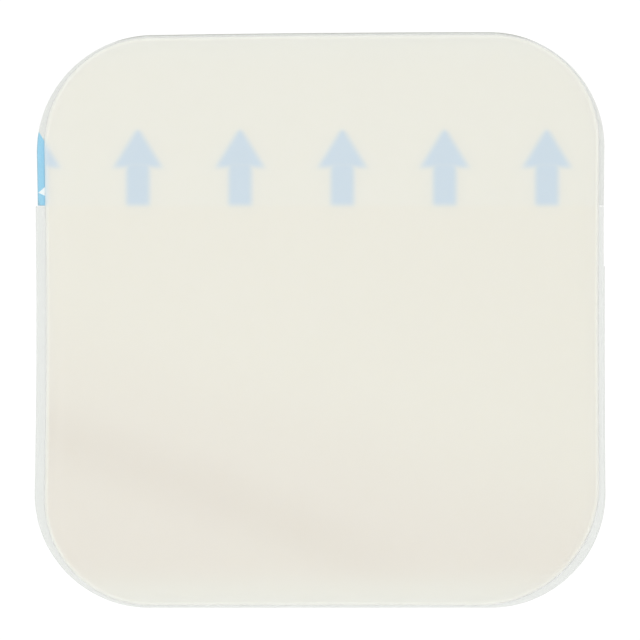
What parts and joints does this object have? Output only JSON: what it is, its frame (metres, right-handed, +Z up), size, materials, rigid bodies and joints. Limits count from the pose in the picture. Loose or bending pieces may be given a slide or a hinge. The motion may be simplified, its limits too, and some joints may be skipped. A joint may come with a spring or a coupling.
{
  "type": "hydrogel wound dressing",
  "caption": "Square soft gel wound dressing with round corners, under a clear backing film, on a cut-across release liner printed with arrows.",
  "frame": {"origin": "on the surface that the liner lies on, under the middle of the dressing", "axes": "+X to the right and +Y up the dressing, the way the printed arrows point, with the dressing seen from its film side; +Z up through the liner, the gel and the film"},
  "size_m": [0.0996, 0.1004, 0.0022],
  "materials": {
    "clear_film": "satin",
    "milky_gel": "soft satin, translucent",
    "clear_liner": "satin",
    "blue_ink": "matt print"
  },
  "bodies": {
    "root": {"backing_film": "clear_film", "hydrogel_sheet": "milky_gel", "printed_release_liner": "clear_liner", "plain_release_liner": "clear_liner", "arrow_print_1": "blue_ink", "arrow_print_2": "blue_ink", "arrow_print_3": "blue_ink", "arrow_print_4": "blue_ink", "arrow_print_5": "blue_ink", "arrow_print_6": "blue_ink"}
  },
  "joints": []
}
